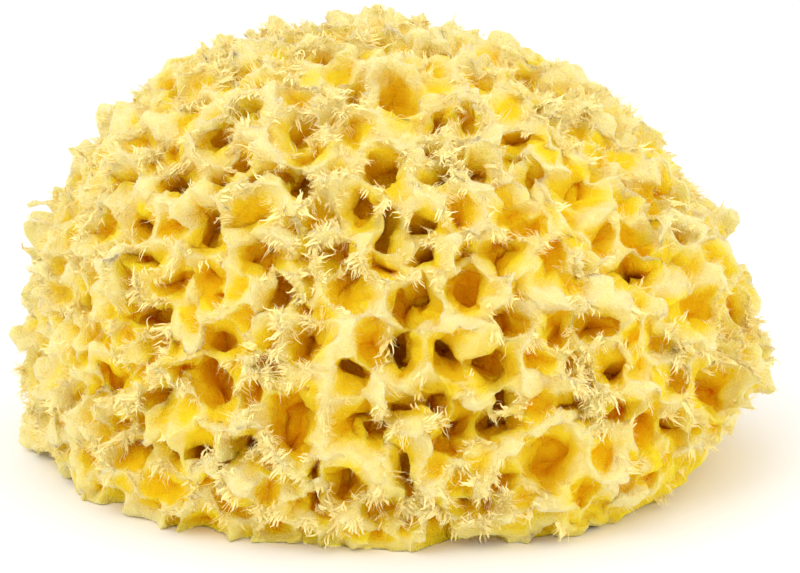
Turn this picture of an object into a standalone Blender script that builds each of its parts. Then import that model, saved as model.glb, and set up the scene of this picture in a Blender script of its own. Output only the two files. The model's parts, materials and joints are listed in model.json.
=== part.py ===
"""A natural bath sponge: one grown piece, domed above, cut flat underneath where it sat on the rock.

The skin is a leaning dome that is widest a little above the table and tucks in under its right
side. Canals are cut into it from tapered, flared cups: those on the front were placed by eye from
a picture of the real sponge, the rest follow an even spiral round the dome. Metres, +Z up.
"""
import math
import random

import bmesh
import bpy
from mathutils import Matrix, Vector, noise
from mathutils.bvhtree import BVHTree

# Driving dimensions of the whole sponge, to the tips of its fibres.
WIDTH = 0.155
DEPTH = 0.132
HEIGHT = 0.090

# The dome: its widest belt, its lean, and how squarely it is filled.
BELT_HEIGHT = 0.018
CROWN_LEAN = -0.0055
PLAN_TURN = math.radians(-9)
CROWN_POWER = 2.03
UNDER_DEPTH_LEFT = 0.050
UNDER_DEPTH_RIGHT = 0.0200
UNDER_POWER = 2.6
LUMP_HEIGHT = 0.0022
LUMP_SIZE = 0.034
SKIN_SUBDIVISIONS = 3
HALVINGS_TO_SKIN = 40

# The eye that the front canals were placed from, and the frame of that picture.
EYE_ELEVATION = math.radians(17)
EYE_DISTANCE = 0.75
AIM = Vector((0.0008, 0.0, 0.0340))
PICTURE_MIDDLE = (400.0, 286.5)
METRES_PER_PIXEL = 0.0002

# Canal mouths seen from that eye, each (across, down, width, height) in pixels and its depth in millimetres.
MOUTHS_SEEN = {
    "crown": [
        (217, 128, 32, 25, 14), (295, 120, 24, 20, 11), (306, 143, 50, 13, 9), (349, 126, 27, 20, 9),
        (356, 79, 18, 36, 14), (402, 84, 46, 46, 12), (380, 28, 10, 26, 10), (452, 43, 46, 14, 9),
        (483, 74, 18, 15, 8), (540, 70, 27, 14, 9), (443, 109, 26, 18, 17), (473, 110, 28, 26, 9),
        (517, 127, 32, 20, 10), (512, 97, 30, 16, 5), (127, 139, 25, 13, 8), (339, 56, 17, 17, 6),
        (590, 125, 22, 13, 6), (247, 57, 18, 14, 8),
    ],
    "upper left": [
        (171, 171, 42, 30, 15), (166, 140, 24, 28, 8), (231, 153, 25, 19, 9), (212, 168, 21, 18, 10),
        (111, 182, 30, 24, 7), (130, 213, 30, 27, 13), (98, 224, 20, 17, 7), (204, 222, 38, 44, 17),
        (249, 212, 27, 36, 12), (138, 255, 19, 15, 12), (255, 256, 40, 26, 17),
    ],
    "upper middle": [
        (295, 177, 20, 17, 18), (357, 200, 24, 50, 13), (390, 222, 24, 44, 15), (390, 160, 40, 42, 20),
        (339, 252, 24, 40, 11), (388, 261, 27, 18, 10), (272, 292, 18, 24, 19), (351, 284, 32, 26, 12),
        (479, 160, 30, 24, 10), (446, 172, 20, 36, 10), (461, 208, 22, 17, 8), (424, 221, 20, 17, 15),
        (426, 251, 32, 27, 20), (474, 247, 20, 18, 8), (470, 282, 34, 34, 16), (426, 297, 15, 30, 20),
        (405, 308, 14, 28, 20),
    ],
    "upper right": [
        (540, 170, 27, 28, 9), (586, 182, 44, 24, 14), (660, 189, 24, 24, 7), (519, 209, 27, 15, 8),
        (628, 199, 20, 14, 6), (610, 228, 25, 14, 9), (650, 235, 34, 24, 9), (512, 247, 50, 24, 16),
        (556, 255, 18, 36, 9), (648, 272, 50, 28, 17),
    ],
    "middle left": [
        (163, 276, 27, 20, 11), (199, 275, 18, 16, 12), (94, 270, 22, 22, 6), (125, 284, 14, 26, 9),
        (143, 313, 30, 28, 13), (46, 290, 20, 20, 4), (214, 339, 22, 24, 12), (210, 385, 34, 56, 19),
        (185, 369, 22, 16, 10), (101, 379, 36, 30, 12), (54, 418, 18, 22, 6),
    ],
    "middle": [
        (305, 340, 34, 28, 9), (288, 422, 40, 60, 17), (349, 379, 20, 20, 20), (367, 348, 26, 30, 11),
        (400, 352, 24, 27, 20), (451, 355, 24, 26, 18), (379, 438, 18, 18, 20), (432, 405, 22, 36, 13),
        (456, 431, 28, 17, 18), (502, 428, 48, 24, 19),
    ],
    "middle right": [
        (515, 318, 29, 15, 19), (563, 326, 28, 38, 9), (604, 326, 30, 18, 11), (492, 364, 50, 32, 18),
        (678, 334, 25, 17, 8), (711, 305, 46, 40, 9), (732, 390, 42, 40, 14), (537, 405, 34, 22, 6),
        (575, 399, 36, 22, 7), (628, 412, 42, 36, 12), (662, 432, 26, 48, 10), (688, 378, 25, 24, 8),
    ],
    "skirt": [
        (240, 446, 34, 19, 13), (128, 456, 30, 26, 12), (163, 456, 18, 22, 17), (195, 451, 16, 19, 17),
        (153, 486, 44, 18, 6), (82, 456, 26, 24, 7), (228, 508, 26, 18, 10), (199, 530, 24, 14, 8),
        (348, 492, 22, 20, 18), (383, 513, 26, 14, 8), (405, 481, 24, 40, 13), (556, 471, 40, 34, 17),
        (487, 505, 30, 13, 7), (591, 492, 28, 13, 6),
    ],
}
LONGEST_FORESHORTENING = 1.5
EDGE_ON = 0.001
SHARE_ALONG_SIGHT = 0.5

# Canals out of that eye's sight, on an even spiral.
SPIRAL_CANALS = 210
SPIRAL_LOWEST = 0.10
SPIRAL_JITTER = 0.04
LOWEST_MOUTH = 0.003
THINNEST_WALL = 0.001
UNSEEN_GAP = 1.02
UNSEEN_RADIUS = (0.0024, 0.0048)
UNSEEN_LONGER = (1.0, 1.5)
UNSEEN_DEPTH = (0.007, 0.017)
UNSEEN_TILT = 0.30

# Canals that the flat cut underneath laid open.
CUT_FACE_CANALS = 13
CUT_FACE_REACH = 0.82
CUT_FACE_RADIUS = (0.0022, 0.0042)
CUT_FACE_DEPTH = (0.004, 0.008)
CUT_FACE_CLEAR = 0.012
CUT_FACE_ACROSS = Vector((1, 0.3, 0))

# A canal's cup: how far its flare stands out of the skin, and its widths as shares of the mouth's.
FLARE_HEIGHT = 0.0030
FLARE_SHARE = 1.78
THROAT_SHARE = 0.84
THROAT_DEPTH_SHARE = 0.30
FLOOR_SHARE = 0.46
WOBBLE = 0.13
TWIST = 0.35
SMALL_MOUTH = 0.0026
SIDES_SMALL = 5
SIDES_LARGE = 6

MOST_TRIANGLES = 9850
CUT_FACE_SNAP = 0.00015
SHARP_ANGLE = math.radians(40)

GOLDEN_ANGLE = math.pi * (3 - math.sqrt(5))
SEED = 11


def clear_scene():
    for old in list(bpy.data.objects):
        bpy.data.objects.remove(old)


def sponge_material():
    """Pale cream-yellow dried sponge, dull all over."""
    material = bpy.data.materials.new("sponge_flesh")
    material.use_nodes = True
    shader = material.node_tree.nodes["Principled BSDF"]
    shader.inputs["Base Color"].default_value = (0.86, 0.70, 0.29, 1)
    shader.inputs["Roughness"].default_value = 0.9
    shader.inputs["Metallic"].default_value = 0.0
    return material


def fullness(point):
    """0 at the middle of the belt and 1 on the dome's skin, before lumps."""
    above = point.z > BELT_HEIGHT
    rightness = 0.5 + 0.5 * point.x / (WIDTH / 2)
    under_depth = UNDER_DEPTH_LEFT + (UNDER_DEPTH_RIGHT - UNDER_DEPTH_LEFT) * rightness
    reach = HEIGHT - BELT_HEIGHT if above else under_depth
    rise = (point.z - BELT_HEIGHT) / reach
    power = CROWN_POWER if above else UNDER_POWER
    leaned = Vector((point.x - CROWN_LEAN * max(rise, 0), point.y))
    turned = Matrix.Rotation(-PLAN_TURN, 2) @ leaned
    across = math.hypot(turned.x / (WIDTH / 2), turned.y / (DEPTH / 2))
    return across ** power + abs(rise) ** power


def skin_point(direction):
    """Where a ray from the middle of the belt leaves the dome, lumps included."""
    middle = Vector((0, 0, BELT_HEIGHT))
    inside, outside = 0.0, WIDTH
    for _ in range(HALVINGS_TO_SKIN):
        half = (inside + outside) / 2
        if fullness(middle + direction * half) < 1:
            inside = half
        else:
            outside = half
    point = middle + direction * inside
    lump = noise.noise(point / LUMP_SIZE) * LUMP_HEIGHT
    return point + direction * lump


def dome_mesh():
    """The uncut dome, flat where it was cut from the rock."""
    shape = bmesh.new()
    bmesh.ops.create_icosphere(shape, subdivisions=SKIN_SUBDIVISIONS, radius=1)
    for vert in shape.verts:
        vert.co = skin_point(vert.co.normalized())
    everything = shape.verts[:] + shape.edges[:] + shape.faces[:]
    cut = bmesh.ops.bisect_plane(shape, geom=everything, plane_co=(0, 0, 0), plane_no=(0, 0, 1), clear_inner=True)
    rim = [item for item in cut["geom_cut"] if isinstance(item, bmesh.types.BMEdge)]
    bmesh.ops.contextual_create(shape, geom=rim)
    bmesh.ops.recalc_face_normals(shape, faces=shape.faces[:])
    return shape


class Canal:
    """One tapered cup: where its mouth is, which way it runs in, its two half widths and its depth."""

    def __init__(self, mouth, inward, across, half_width, half_height, depth):
        self.mouth = mouth
        self.inward = inward.normalized()
        self.across = (across - self.inward * across.dot(self.inward)).normalized()
        self.half_width = half_width
        self.half_height = half_height
        self.depth = depth

    def reach(self):
        return math.sqrt(self.half_width * self.half_height)


def seen_ray(across_px, down_px):
    """The eye, and the direction from it through a pixel of the picture."""
    forward = Vector((0, math.cos(EYE_ELEVATION), -math.sin(EYE_ELEVATION)))
    up = Vector((0, math.sin(EYE_ELEVATION), math.cos(EYE_ELEVATION)))
    eye = AIM - forward * EYE_DISTANCE
    right_by = (across_px - PICTURE_MIDDLE[0]) * METRES_PER_PIXEL
    up_by = (PICTURE_MIDDLE[1] - down_px) * METRES_PER_PIXEL
    through = AIM + Vector((right_by, 0, 0)) + up * up_by
    return eye, (through - eye).normalized()


def slanted(half_size, cup_side, sight_side, normal):
    """The cup's half width that looks half_size wide from the eye, on a skin that leans away."""
    along_skin = cup_side - normal * cup_side.dot(normal)
    along_skin.normalize()
    seen = max(abs(along_skin.dot(sight_side)), EDGE_ON)
    return half_size * min(abs(along_skin.dot(cup_side)) / seen, LONGEST_FORESHORTENING)


def canals_seen(skin):
    """Canals whose mouths show from the eye, where the line of sight meets the skin."""
    right = Vector((1, 0, 0))
    found = []
    for mouths in MOUTHS_SEEN.values():
        for across_px, down_px, width_px, height_px, depth_mm in mouths:
            eye, sight = seen_ray(across_px, down_px)
            mouth, normal, _, _ = skin.ray_cast(eye, sight)
            if mouth is None:
                continue
            inward = (sight * SHARE_ALONG_SIGHT - normal * (1 - SHARE_ALONG_SIGHT)).normalized()
            side = (right - inward * right.dot(inward)).normalized()
            top = side.cross(inward)
            picture_up = right.cross(sight).normalized()
            half_width = slanted(width_px * METRES_PER_PIXEL / 2, side, right, normal)
            half_height = slanted(height_px * METRES_PER_PIXEL / 2, top, picture_up, normal)
            found.append(Canal(mouth, inward, right, half_width, half_height, depth_mm / 1000))
    return found


def clear_of(mouth, radius, canals):
    return all((mouth - c.mouth).length > UNSEEN_GAP * (radius + c.reach()) + THINNEST_WALL for c in canals)


def canals_unseen(skin, taken, rng):
    """Canals on the back, the sides and the top, on an even spiral, where no other canal is near."""
    middle = Vector((0, 0, BELT_HEIGHT))
    found = []
    for step in range(SPIRAL_CANALS):
        rise = 1 - (1 + SPIRAL_LOWEST) * (step + 0.5) / SPIRAL_CANALS
        angle = step * GOLDEN_ANGLE
        level = math.sqrt(max(0.0, 1 - rise * rise))
        direction = Vector((math.cos(angle) * level, math.sin(angle) * level, rise))
        direction += Vector([rng.uniform(-SPIRAL_JITTER, SPIRAL_JITTER) for _ in range(3)])
        radius = rng.uniform(*UNSEEN_RADIUS)
        longer = rng.uniform(*UNSEEN_LONGER)
        depth = rng.uniform(*UNSEEN_DEPTH)
        tilt = Vector([rng.uniform(-UNSEEN_TILT, UNSEEN_TILT) for _ in range(3)])
        spin = Vector([rng.uniform(-1, 1) for _ in range(3)])
        mouth, normal, _, _ = skin.ray_cast(middle, direction.normalized())
        if mouth is None or mouth.z < LOWEST_MOUTH or not clear_of(mouth, radius, taken + found):
            continue
        outward = normal if normal.dot(direction) > 0 else -normal
        inward = -outward + tilt
        found.append(Canal(mouth, inward, spin, radius * longer, radius / longer ** 0.5, depth))
    return found


def canals_of_cut_face(rng):
    """Shallow canals in the flat cut, clear of the middle where the sponge rests."""
    found = []
    for step in range(CUT_FACE_CANALS):
        share = math.sqrt((step + 0.5) / CUT_FACE_CANALS) * CUT_FACE_REACH
        angle = step * GOLDEN_ANGLE
        mouth = Vector((math.cos(angle) * share * WIDTH / 2, math.sin(angle) * share * DEPTH / 2, 0))
        radius = rng.uniform(*CUT_FACE_RADIUS)
        depth = rng.uniform(*CUT_FACE_DEPTH)
        if mouth.length < CUT_FACE_CLEAR:
            continue
        found.append(Canal(mouth, Vector((0, 0, 1)), CUT_FACE_ACROSS, radius, radius, depth))
    return found


def cup_mesh(canal, rng):
    """A closed, tapered, slightly crooked cup from above the mouth to the canal's floor."""
    small = canal.reach() < SMALL_MOUTH
    sides = SIDES_SMALL if small else SIDES_LARGE
    upright = canal.across.cross(canal.inward)
    levels = [(-FLARE_HEIGHT, FLARE_SHARE), (canal.depth, FLOOR_SHARE)]
    if not small:
        levels.insert(1, (canal.depth * THROAT_DEPTH_SHARE, THROAT_SHARE))
    shape = bmesh.new()
    rings = []
    for level, (deep, share) in enumerate(levels):
        ring = []
        for side in range(sides):
            angle = 2 * math.pi * side / sides + level * TWIST
            size = share * (1 + rng.uniform(-WOBBLE, WOBBLE))
            offset = canal.across * math.cos(angle) * canal.half_width * size
            offset += upright * math.sin(angle) * canal.half_height * size
            ring.append(shape.verts.new(canal.mouth + canal.inward * deep + offset))
        rings.append(ring)
    for outer, inner in zip(rings, rings[1:]):
        for side in range(sides):
            after = (side + 1) % sides
            shape.faces.new((outer[side], outer[after], inner[after], inner[side]))
    shape.faces.new(rings[0])
    shape.faces.new(rings[-1])
    bmesh.ops.triangulate(shape, faces=shape.faces[:])
    bmesh.ops.recalc_face_normals(shape, faces=shape.faces[:])
    return shape


def mesh_object(name, shape, collection):
    mesh = bpy.data.meshes.new(name)
    shape.to_mesh(mesh)
    shape.free()
    made = bpy.data.objects.new(name, mesh)
    collection.objects.link(made)
    return made


def evaluated_mesh(made):
    bpy.context.view_layer.update()
    graph = bpy.context.evaluated_depsgraph_get()
    return bpy.data.meshes.new_from_object(made.evaluated_get(graph))


def cut_canals(sponge, canals, rng):
    """Cuts every canal out of the sponge with one Boolean, and applies it."""
    cutters = bpy.data.collections.new("canal_cutters")
    bpy.context.scene.collection.children.link(cutters)
    for number, canal in enumerate(canals):
        cutter = mesh_object(f"canal_cutter_{number:03d}", cup_mesh(canal, rng), cutters)
        cutter.hide_render = True
        cutter.display_type = "WIRE"
    boolean = sponge.modifiers.new("canals", "BOOLEAN")
    boolean.operation = "DIFFERENCE"
    boolean.operand_type = "COLLECTION"
    boolean.collection = cutters
    boolean.use_self = False
    cut = evaluated_mesh(sponge)
    sponge.modifiers.clear()
    sponge.data = cut
    for cutter in list(cutters.objects):
        bpy.data.objects.remove(cutter)


def largest_body(shape):
    """Deletes crumbs that the canals cut free, so that one body is left."""
    unseen = set(shape.verts)
    bodies = []
    while unseen:
        body, edge_of_body = set(), [unseen.pop()]
        while edge_of_body:
            vert = edge_of_body.pop()
            body.add(vert)
            for edge in vert.link_edges:
                other = edge.other_vert(vert)
                if other in unseen:
                    unseen.remove(other)
                    edge_of_body.append(other)
        bodies.append(body)
    bodies.sort(key=len)
    crumbs = [vert for body in bodies[:-1] for vert in body]
    bmesh.ops.delete(shape, geom=crumbs, context="VERTS")


def fit_to_size(shape):
    """Stretches the outer box to the driving dimensions, centred on Z and standing on the table."""
    low = Vector([min(vert.co[axis] for vert in shape.verts) for axis in range(3)])
    high = Vector([max(vert.co[axis] for vert in shape.verts) for axis in range(3)])
    middle = (low + high) / 2
    size = high - low
    for vert in shape.verts:
        vert.co.x = (vert.co.x - middle.x) * WIDTH / size.x
        vert.co.y = (vert.co.y - middle.y) * DEPTH / size.y
        vert.co.z = (vert.co.z - low.z) * HEIGHT / size.z


def thin_out(sponge):
    """Merges the slivers that the cuts left, down to MOST_TRIANGLES."""
    decimate = sponge.modifiers.new("fewer_triangles", "DECIMATE")
    decimate.ratio = min(1.0, MOST_TRIANGLES / len(sponge.data.polygons))
    thinned = evaluated_mesh(sponge)
    sponge.modifiers.clear()
    sponge.data = thinned


def tidy(sponge):
    """One body of triangles, with its cut face back in one plane and its box at the driving dimensions."""
    shape = bmesh.new()
    shape.from_mesh(sponge.data)
    bmesh.ops.triangulate(shape, faces=shape.faces[:])
    largest_body(shape)
    for vert in shape.verts:
        if vert.co.z < CUT_FACE_SNAP:
            vert.co.z = 0
    fit_to_size(shape)
    shape.to_mesh(sponge.data)
    shape.free()


def build():
    clear_scene()
    rng = random.Random(SEED)
    dome = dome_mesh()
    skin = BVHTree.FromBMesh(dome)
    sponge = mesh_object("sponge", dome, bpy.context.scene.collection)
    canals = canals_seen(skin)
    canals += canals_unseen(skin, canals, rng)
    canals += canals_of_cut_face(rng)
    print(len(canals), "canals")
    cut_canals(sponge, canals, rng)
    tidy(sponge)
    thin_out(sponge)
    tidy(sponge)
    sponge.data.materials.clear()
    sponge.data.materials.append(sponge_material())
    sponge.data.shade_smooth()
    sponge.data.set_sharp_from_angle(angle=SHARP_ANGLE)
    return sponge


build()
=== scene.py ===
# %% [markdown]
# # A natural bath sponge
# The real thing is the dried skeleton of a sea sponge: a springy net of fibres, grown as one domed piece
# and cut flat underneath. Canals run into it from every side. Where their flared mouths meet, thin
# crests are left standing, and the crests end in torn, pale fingers and hairs. This lesson builds it in
# that order: the body with its canals and crests, then the fingers and hairs on it, then floor and light.

# %% Load the solid model that everything is fitted to
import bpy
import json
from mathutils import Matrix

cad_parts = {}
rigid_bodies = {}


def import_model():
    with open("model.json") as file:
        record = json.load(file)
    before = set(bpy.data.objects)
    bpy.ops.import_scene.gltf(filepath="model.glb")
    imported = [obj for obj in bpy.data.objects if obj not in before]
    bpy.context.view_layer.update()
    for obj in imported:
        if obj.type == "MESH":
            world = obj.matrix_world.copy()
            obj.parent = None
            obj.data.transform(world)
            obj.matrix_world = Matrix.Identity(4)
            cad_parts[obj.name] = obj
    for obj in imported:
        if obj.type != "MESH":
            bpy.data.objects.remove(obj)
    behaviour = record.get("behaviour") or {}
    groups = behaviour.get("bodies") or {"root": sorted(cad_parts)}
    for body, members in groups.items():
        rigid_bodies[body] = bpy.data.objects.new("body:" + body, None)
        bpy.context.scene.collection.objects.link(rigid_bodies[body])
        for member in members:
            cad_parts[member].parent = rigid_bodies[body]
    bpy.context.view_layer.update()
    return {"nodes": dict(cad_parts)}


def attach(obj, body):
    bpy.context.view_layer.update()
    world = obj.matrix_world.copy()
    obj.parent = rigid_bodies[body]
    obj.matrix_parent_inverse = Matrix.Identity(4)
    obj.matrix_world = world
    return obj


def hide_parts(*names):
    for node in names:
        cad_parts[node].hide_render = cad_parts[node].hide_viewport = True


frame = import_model()

# %% Modules and the units
import json
import math
import bmesh
import bpy
import numpy as np
import openvdb
from mathutils import Vector
from mathutils.bvhtree import BVHTree

SEED = 7
MM = 0.001

# %% [markdown]
# ## The camera
# The picture was taken from about 17 degrees above the table and some distance away. The camera comes
# first, because the small canals further down are placed along its lines of sight.

# %% Work out where the camera stands
EYE_ELEVATION = math.radians(17)
EYE_DISTANCE = 750 * MM
AIM = Vector((0.8 * MM, 0, 34 * MM))
PICTURE_WIDTH = 160 * MM

forward = Vector((0, math.cos(EYE_ELEVATION), -math.sin(EYE_ELEVATION)))
picture_up = Vector((0, math.sin(EYE_ELEVATION), math.cos(EYE_ELEVATION)))
picture_right = Vector((1, 0, 0))
eye = AIM - forward * EYE_DISTANCE
print("eye, mm:", [round(value / MM) for value in eye])

# %% Make the camera
camera_data = bpy.data.cameras.new("camera")
camera_data.sensor_width = 36
camera_data.lens = camera_data.sensor_width * EYE_DISTANCE / PICTURE_WIDTH
camera_data.clip_start = 50 * MM
camera = bpy.data.objects.new("camera", camera_data)
camera.location = eye
camera.rotation_euler = (math.pi / 2 - EYE_ELEVATION, 0, 0)
bpy.context.scene.collection.objects.link(camera)
bpy.context.scene.camera = camera
print("camera lens, mm:", round(camera_data.lens, 1))

# %% [markdown]
# ## A block of voxels round the sponge
# The body of the sponge is all soft, branching hollows. Sculpting them face by face would take weeks, and
# cutting them with booleans gives hard edges. A signed distance is easier: a number for each point of
# space, negative inside the sponge and positive outside. Such numbers can be added, blended and
# roughened, and the surface is wherever they cross zero. They are kept in a block of small cubes, voxels.

# %% Merge a copy of the solid's loose triangles
MERGED_WITHIN = 0.001 * MM

plain = bmesh.new()
plain.from_mesh(frame["nodes"]["sponge"].data)
bmesh.ops.remove_doubles(plain, verts=plain.verts[:], dist=MERGED_WITHIN)
plain_points = np.array([vert.co for vert in plain.verts], np.float32)
plain_triangles = np.array([[vert.index for vert in face.verts] for face in plain.faces], np.uint32)
plain.free()
print("solid:", len(plain_points), "points and", len(plain_triangles), "triangles")

# %% Set up the block
VOXEL = 0.6 * MM
MARGIN = 4 * MM

first_voxel = np.floor((plain_points.min(0) - MARGIN) / VOXEL).astype(int)
last_voxel = np.ceil((plain_points.max(0) + MARGIN) / VOXEL).astype(int)
block = tuple(int(count) for count in last_voxel - first_voxel + 1)
print("block of", block, "voxels,", round(np.prod(block) / 1e6, 1), "million in all")


def axis_places(axis):
    """Where the voxels lie along one axis, in metres."""
    return (first_voxel[axis] + np.arange(block[axis])) * VOXEL


# %% Helpers from a mesh to distances and back
def signed_distance(points, triangles, band):
    """The signed distance to a closed mesh over the block, measured up to band metres away."""
    grid = openvdb.FloatGrid.createLevelSetFromPolygons(
        points, triangles=triangles, transform=openvdb.createLinearTransform(voxelSize=VOXEL),
        halfWidth=band / VOXEL)
    values = np.zeros(block, np.float32)
    grid.copyToArray(values, ijk=tuple(int(index) for index in first_voxel))
    return values


def surface_of(values):
    """Points and triangles of the surface where the values over the block cross zero."""
    grid = openvdb.FloatGrid(float(values.max()))
    grid.transform = openvdb.createLinearTransform(voxelSize=VOXEL)
    grid.copyFromArray(values, ijk=tuple(int(index) for index in first_voxel))
    points, triangles, quads = grid.convertToPolygons(0.0, 0.0)
    halves = np.concatenate([quads[:, [0, 1, 2]], quads[:, [0, 2, 3]], triangles])
    return points, halves


# %% A helper for soft random lumps
LUMPS_REACH = 2.2


def lump_weights(axis, spacing):
    """How much each row of random numbers counts at each voxel along one axis: a cubic B-spline."""
    places = np.arange(block[axis]) * VOXEL / spacing
    cell = np.floor(places).astype(int)
    share = places - cell
    rows = np.arange(block[axis])
    weights = np.zeros((block[axis], cell[-1] + 4), np.float32)
    weights[rows, cell] = (1 - share) ** 3 / 6
    weights[rows, cell + 1] = (3 * share ** 3 - 6 * share ** 2 + 4) / 6
    weights[rows, cell + 2] = (-3 * share ** 3 + 3 * share ** 2 + 3 * share + 1) / 6
    weights[rows, cell + 3] = share ** 3 / 6
    return weights


def lumps(spacing, number):
    """Soft random values, roughly -1 to 1, in lumps spacing metres wide. Each number gives other lumps."""
    across, along, up = [lump_weights(axis, spacing) for axis in range(3)]
    shape = (across.shape[1], along.shape[1], up.shape[1])
    values = np.random.default_rng(SEED * 1000 + number).uniform(-1, 1, shape).astype(np.float32)
    values = np.tensordot(across, values, axes=(1, 0))
    values = np.tensordot(values, along, axes=(1, 1)).transpose(0, 2, 1)
    return (values.reshape(-1, values.shape[2]) @ up.T).reshape(block) * LUMPS_REACH


# %% Helpers that blur values and read them at any point
def blurred(values, radius):
    """Three box blurs in a row along each axis, close to a round blur of that radius in metres."""
    reach = max(1, round(radius / VOXEL))
    for axis in range(3):
        for _ in range(3):
            padding = [(0, 0)] * 3
            padding[axis] = (reach + 1, reach)
            sums = np.cumsum(np.pad(values, padding, mode="edge"), axis=axis, dtype=np.float64)
            upper = np.take(sums, range(2 * reach + 1, sums.shape[axis]), axis=axis)
            lower = np.take(sums, range(0, sums.shape[axis] - 2 * reach - 1), axis=axis)
            values = ((upper - lower) / (2 * reach + 1)).astype(np.float32)
    return values


def sampled(values, points):
    """The values over the block read at points, blended between voxels."""
    places = points / VOXEL - first_voxel
    base = np.clip(np.floor(places).astype(int), 0, np.array(block) - 2)
    share = np.clip(places - base, 0, 1).astype(np.float32)
    total = np.zeros(len(points), np.float32)
    for corner in range(8):
        step = np.array([corner & 1, corner >> 1 & 1, corner >> 2 & 1])
        weight = np.prod(np.where(step, share, 1 - share), axis=1)
        index = base + step
        total += weight * values[index[:, 0], index[:, 1], index[:, 2]]
    return total


def slope_at(values, points):
    """The direction in which the values grow, at each of the points."""
    rises = [sampled(values, points + step) - sampled(values, points - step) for step in np.eye(3) * VOXEL]
    slope = np.stack(rises, axis=1)
    return slope / np.maximum(np.linalg.norm(slope, axis=1, keepdims=True), 1e-6)


# %% [markdown]
# ## The skin and the big canals
# The real sponge has a skin that its crests reach and its canals break through. The solid model holds the
# dome and its big canals, and its convex hull is that skin. The hull is drawn down past the table first,
# so that the flat cut doesn't count as skin.

# %% Find the skin
HULL_FOOT = -14 * MM
CUT_FACE_BAND = 0.3 * MM

hull = bmesh.new()
for point in plain_points:
    hull.verts.new(point)
    if point[2] < CUT_FACE_BAND:
        hull.verts.new((point[0], point[1], HULL_FOOT))
wrapped = bmesh.ops.convex_hull(hull, input=hull.verts[:])
left_over = set(wrapped["geom_interior"] + wrapped["geom_unused"])
inner_points = [item for item in left_over if isinstance(item, bmesh.types.BMVert)]
bmesh.ops.delete(hull, geom=inner_points, context="VERTS")
bmesh.ops.triangulate(hull, faces=hull.faces[:])
hull.verts.index_update()
skin = BVHTree.FromBMesh(hull)
skin_points = np.array([vert.co for vert in hull.verts], np.float32)
skin_triangles = np.array([[vert.index for vert in face.verts] for face in hull.faces], np.uint32)
hull.free()
print("skin:", len(skin_triangles), "triangles")

# %% Measure the depth below the skin and the distance to the canals
SKIN_BAND = 14 * MM
CANAL_BAND = 6 * MM
LUMP_ALLOWANCE = 2 * MM

below_skin = -signed_distance(skin_points, skin_triangles, SKIN_BAND)
to_solid = signed_distance(plain_points, plain_triangles, CANAL_BAND)
height = axis_places(2).astype(np.float32)[None, None, :]
canals = np.maximum(np.maximum(-to_solid, LUMP_ALLOWANCE - below_skin), -height)
to_canal = signed_distance(*surface_of(canals), CANAL_BAND)
print("part of the dome that is canal:", round(float((canals < 0).sum() / (below_skin > 0).sum()), 2))

# %% [markdown]
# ## Small canals and hollows
# Between its big canals the real sponge has small ones and shallow hollows, down to pin-holes. The ones
# that show in the picture are put where they show, and the rest follow a spiral that spreads them evenly,
# with random sizes. The solid model leaves them all out, so here they are dug into the distances.

# %% A helper that digs one canal
def dig(start, end, start_radius, end_radius):
    """Adds a tapered, round-ended canal from start to end to the distances in to_canal."""
    start, end = np.array(start), np.array(end)
    reach = max(start_radius, end_radius) + CANAL_BAND
    low = np.floor((np.minimum(start, end) - reach) / VOXEL).astype(int) - first_voxel
    high = np.ceil((np.maximum(start, end) + reach) / VOXEL).astype(int) - first_voxel + 1
    window = tuple(slice(int(a), int(b)) for a, b in zip(np.clip(low, 0, block), np.clip(high, 0, block)))
    places = [axis_places(axis)[window[axis]] for axis in range(3)]
    x, y, z = np.meshgrid(*places, indexing="ij", sparse=True)
    x, y, z = x - start[0], y - start[1], z - start[2]
    along = end - start
    share = np.clip((x * along[0] + y * along[1] + z * along[2]) / (along @ along), 0, 1)
    x, y, z = x - share * along[0], y - share * along[1], z - share * along[2]
    distance = np.sqrt(x ** 2 + y ** 2 + z ** 2) - start_radius - (end_radius - start_radius) * share
    to_canal[window] = np.minimum(to_canal[window], distance.astype(np.float32))


# %% Dig the small canals that show in the picture
# Each is (right, up, width, height, depth) in millimetres, right and up from the middle of the picture.
SMALL_SEEN = [
    (-46.5, 39, 2, 3, 5), (-30, 35, 3.5, 1, 9), (-17, 48.5, 2, 5, 9), (-12.5, 51.5, 2.5, 2, 6),
    (-44, 34, 3, 2, 4), (-21, 49, 3, 3.5, 5), (-27.5, 23.5, 5.5, 1.5, 9), (-66, 6.5, 3, 3, 6),
    (-47, 12.5, 3, 2.5, 5), (-69.5, 14, 3, 2.5, 4), (-63, 25, 3.5, 2.5, 4), (30.5, 28.5, 3, 2.5, 5),
    (47.5, 21, 2.5, 2, 8), (26.5, 12.5, 4.5, 2.5, 8), (57.5, 10.5, 2.5, 2, 6), (60.5, 17, 2.5, 2.5, 5),
    (63, 6.5, 3, 3, 5), (-65, -1.5, 3, 2, 6), (-49.5, -21, 4, 2, 9), (-54, -17.5, 3, 2, 6),
    (-71.5, -17.5, 3, 2, 5), (-58, -27.5, 3, 3, 8), (-30, -22, 3, 3, 9), (-26.5, -15, 3, 2, 6),
    (1, -24.5, 4, 2.5, 10), (21, -22.5, 3, 3, 16), (35, -14.5, 3, 2.5, 6), (65.5, -13, 2, 1.5, 5),
    (38, -28, 2.5, 1.5, 5), (-69, -36, 2, 1.5, 4), (-27, -49.5, 2.5, 4, 9), (-18, -37.5, 2, 2, 6),
    (-17, -44, 2, 2.5, 8), (10, -32.5, 4, 2, 9), (22, -40.5, 3.5, 2.5, 7), (14, -44.5, 2, 2.5, 14),
]
BOTTOM_SHARE = 0.6
DOUBLE_FROM = 0.3

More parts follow.
